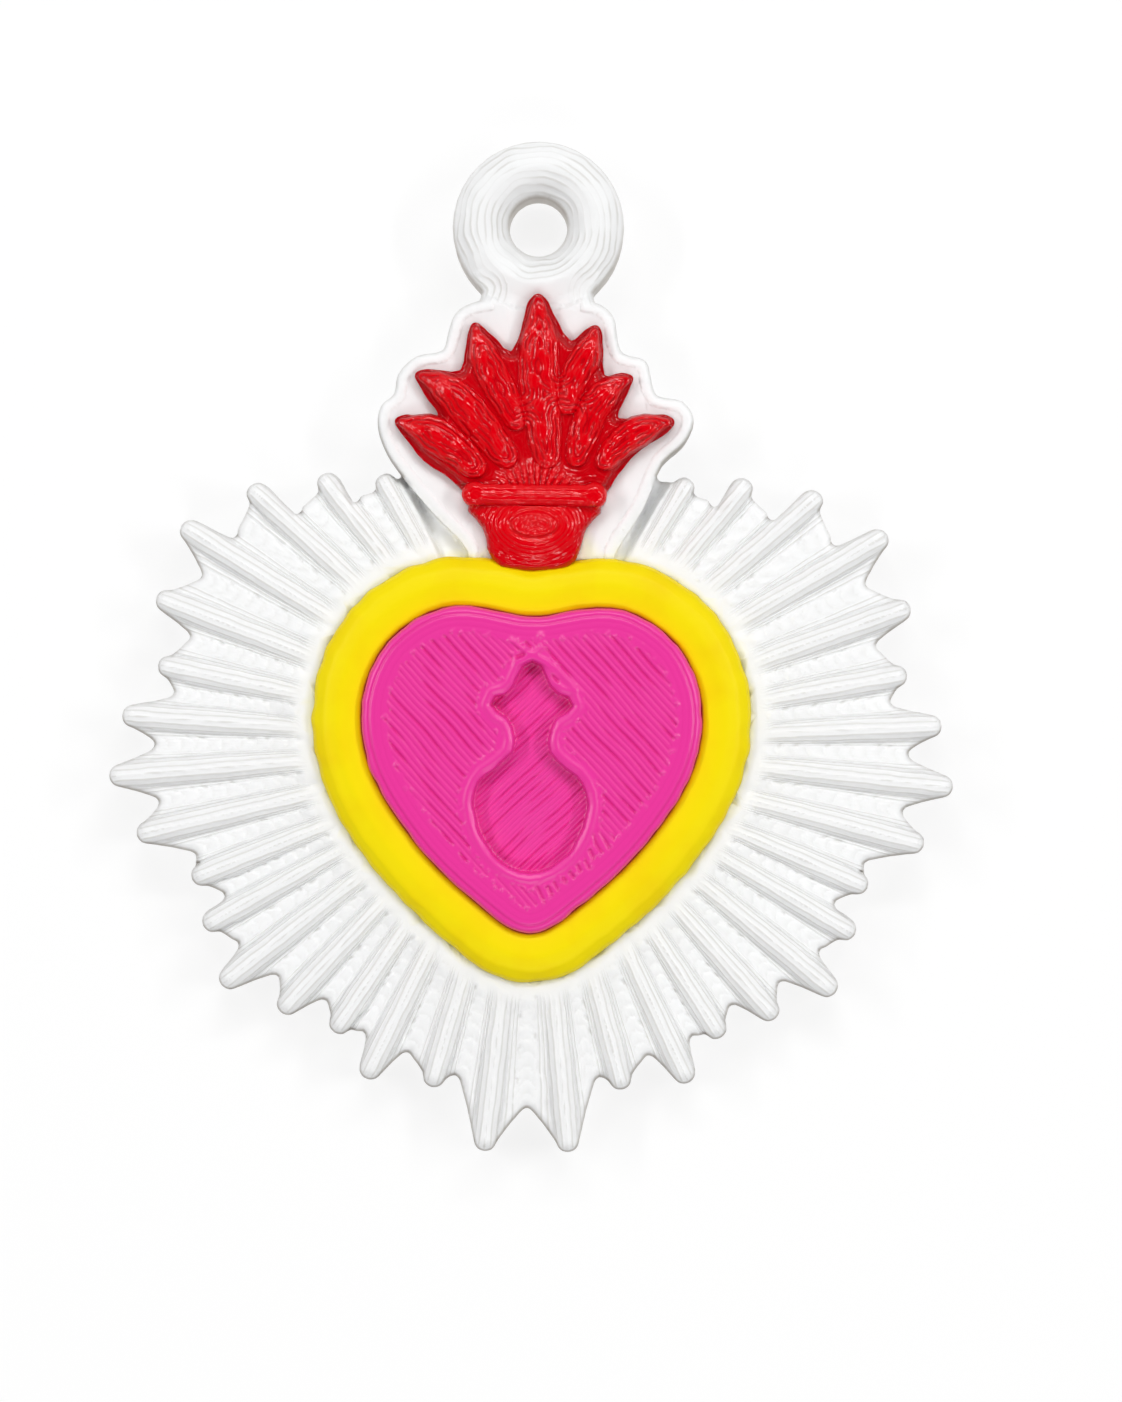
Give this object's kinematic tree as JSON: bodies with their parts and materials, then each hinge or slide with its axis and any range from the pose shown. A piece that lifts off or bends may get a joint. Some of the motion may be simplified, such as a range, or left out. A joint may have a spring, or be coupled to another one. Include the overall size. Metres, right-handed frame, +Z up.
{
  "type": "sacred heart charm",
  "caption": "Flat folk charm: a heart in a padded rim on a fan of pointed rays, with a crown of flames above it and a round hanging loop at the top.",
  "frame": {"origin": "centre of the hanging loop's hole, on the plane of the flat back", "axes": "+Z up the charm as it hangs, face towards -Y, flat back on the plane Y = 0, +X to the right as seen from the front"},
  "size_m": [0.0334, 0.004, 0.04],
  "materials": {
    "white_plastic": "satin, printed in fine layers",
    "yellow_plastic": "satin",
    "pink_plastic": "satin, with the fine lines of the print across its face",
    "red_plastic": "glossy, with fine contour lines"
  },
  "bodies": {
    "root": {"sunburst": "white_plastic", "heart_rim": "yellow_plastic", "heart": "pink_plastic", "flame_crown": "red_plastic"}
  },
  "joints": []
}
